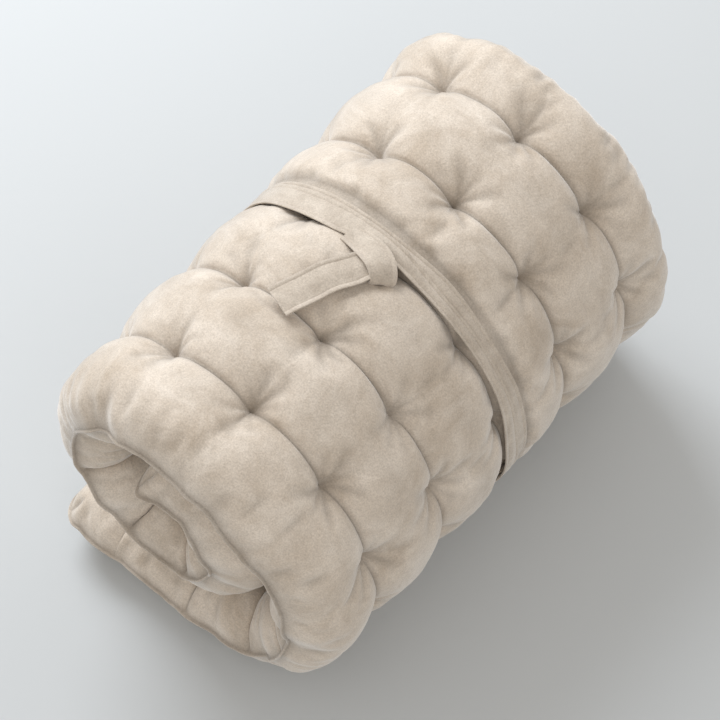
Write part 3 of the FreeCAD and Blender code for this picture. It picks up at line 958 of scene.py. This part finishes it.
def straight_down(along, depth):
    """X and Z on the last panel under the strap, carried on straight past its end."""
    past = along - row_lengths[STRAP_ROW_LAST]
    share = np.clip(past / STANDS_OFF_WITHIN, 0, 1)
    depth = depth - STANDS_OFF * share * share * (3 - 2 * share)
    return (leaving[0] + down[0] * past - down[1] * depth,
            leaving[1] + down[1] * past + down[0] * depth)


left_end = row_lengths[STRAP_ROW_LAST]
for which in ("back", "front"):
    stations = turn_stations(which, along_all[middle_column(STRAP_ROW_LAST)], left_end)
    free = turn_stations(which, left_end, left_end + FREE_STRETCH)
    for piece in (band(f"strap_{which}_turn_10", stations),
                  band(f"strap_{which}_free_stretch", free, straight_down)):
        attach(piece, body_names[STRAP_ROW_LAST])


# ---------------------------------------------------------------------------------------------
# The knot and the free end: the second turn passes over the free end's root and tucks under
# itself in a half hitch. The free end is a doubled tube of the strap with a stitched hem.
# ---------------------------------------------------------------------------------------------

KNOT_PATH = [
    # along from the knot, across, height above the tuft line, width, lean in degrees
    (0.052, -0.0045, 0.0125, 0.0300, -4),
    (0.040, -0.0060, 0.0145, 0.0310, -8),
    (0.028, -0.0085, 0.0185, 0.0330, -14),
    (0.016, -0.0120, 0.0235, 0.0350, -22),
    (0.006, -0.0160, 0.0262, 0.0350, -30),
    (-0.003, -0.0210, 0.0262, 0.0330, -38),
    (-0.010, -0.0265, 0.0230, 0.0310, -44),
    (-0.014, -0.0305, 0.0170, 0.0290, -48),
    (-0.013, -0.0320, 0.0110, 0.0270, -50),
    (-0.008, -0.0290, 0.0075, 0.0250, -50),
]


def smooth_path(points, count):
    """Even steps along a Catmull-Rom line through the points."""
    points = np.array(points, float)
    padded_points = np.vstack([2 * points[0] - points[1], points, 2 * points[-1] - points[-2]])
    found = []
    for share in np.linspace(0, len(points) - 1, count):
        i = min(int(share), len(points) - 2)
        t = share - i
        a, b, c, d = padded_points[i:i + 4]
        found.append(0.5 * (2 * b + (c - a) * t + (2 * a - 5 * b + 4 * c - d) * t ** 2
                            + (3 * b - a - 3 * c + d) * t ** 3))
    return found


KNOT_STEPS, KNOT_RIPPLE = 34, 0.0012
knot_stations = [(KNOT_ALONG + s, y, -height, width, math.radians(lean), KNOT_RIPPLE)
                 for s, y, height, width, lean in smooth_path(KNOT_PATH, KNOT_STEPS)]
knot = band("strap_half_hitch", knot_stations)
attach(knot, body_names[ROOT_PANEL])
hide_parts("strap_knot")

FREE_END_PATH = [
    # along from the knot, across, height above the tuft line, width
    (0.008, -0.0218, 0.0178, 0.0300),
    (0.012, -0.0310, 0.0200, 0.0340),
    (0.019, -0.0480, 0.0200, 0.0370),
    (0.030, -0.0690, 0.0195, 0.0380),
    (0.038, -0.0950, 0.0190, 0.0385),
    (0.046, -0.1180, 0.0185, 0.0390),
    (0.050, -0.1330, 0.0190, 0.0390),
]
FREE_END_SQUARE = math.radians(70)
FREE_END_STEPS, FREE_END_RIPPLE = 46, 0.0010
free_stations = [(KNOT_ALONG + s, y, -height, width, FREE_END_SQUARE, FREE_END_RIPPLE)
                 for s, y, height, width in smooth_path(FREE_END_PATH, FREE_END_STEPS)]
free_end = band("strap_free_end_tube", free_stations)
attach(free_end, "strap_end")
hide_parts("strap_free_end")
